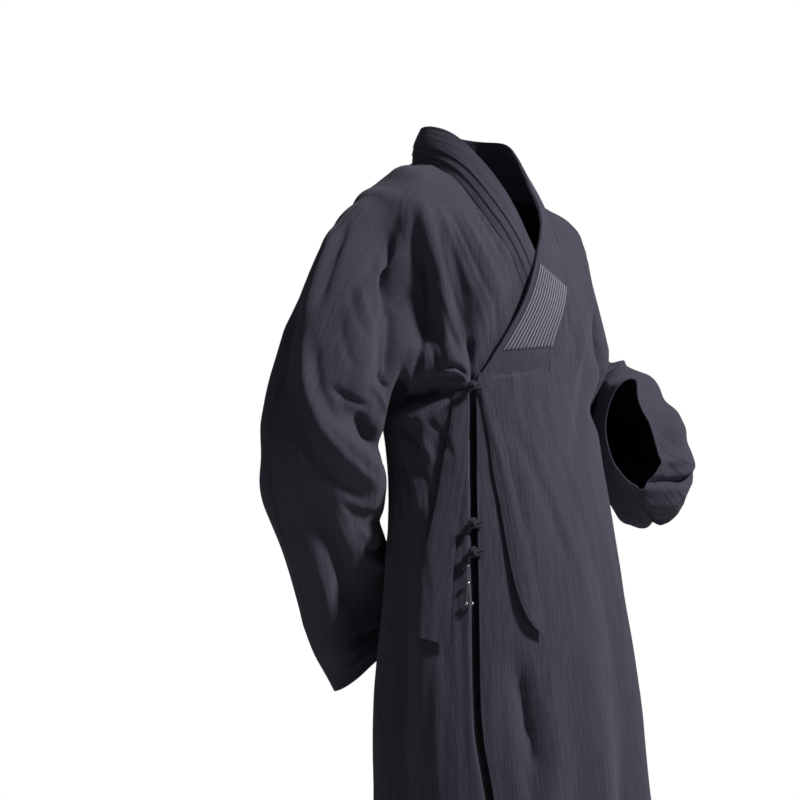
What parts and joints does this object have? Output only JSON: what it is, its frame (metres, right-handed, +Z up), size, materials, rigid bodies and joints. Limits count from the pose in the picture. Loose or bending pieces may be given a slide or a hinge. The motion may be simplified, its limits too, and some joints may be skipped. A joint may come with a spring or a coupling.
{
  "type": "monk robe",
  "caption": "Long crossed-collar monk robe in plain linen, worn open-hollow, with wide sleeves, a stepped collar with a quilted patch, knot buttons and ribbon ties.",
  "frame": {"origin": "base of the neck at shoulder height, the middle of the yoke where the wearer's shoulders hold the robe", "axes": "+Z up along the standing figure, front towards -Y, the wearer's left towards +X"},
  "size_m": [0.6603, 0.4505, 1.36],
  "materials": {
    "linen": "matte plain-woven linen, charcoal with a purple cast",
    "quilting": "close rows of white thread quilted through the linen"
  },
  "bodies": {
    "root": {"left_front": "linen", "right_front": "linen", "back_left": "linen", "back_right": "linen", "left_sleeve_upper": "linen", "left_sleeve_lower": "linen", "right_sleeve_upper": "linen", "right_sleeve_lower": "linen", "collar_base": "linen", "collar_middle": "linen", "collar_top": "linen", "tie_right": "linen", "tie_left": "linen", "knot_button_1": "linen", "button_loop_1": "linen", "knot_button_2": "linen", "button_loop_2": "linen", "knot_button_3": "linen", "button_loop_3": "linen", "collar_quilting": "quilting"}
  },
  "joints": []
}
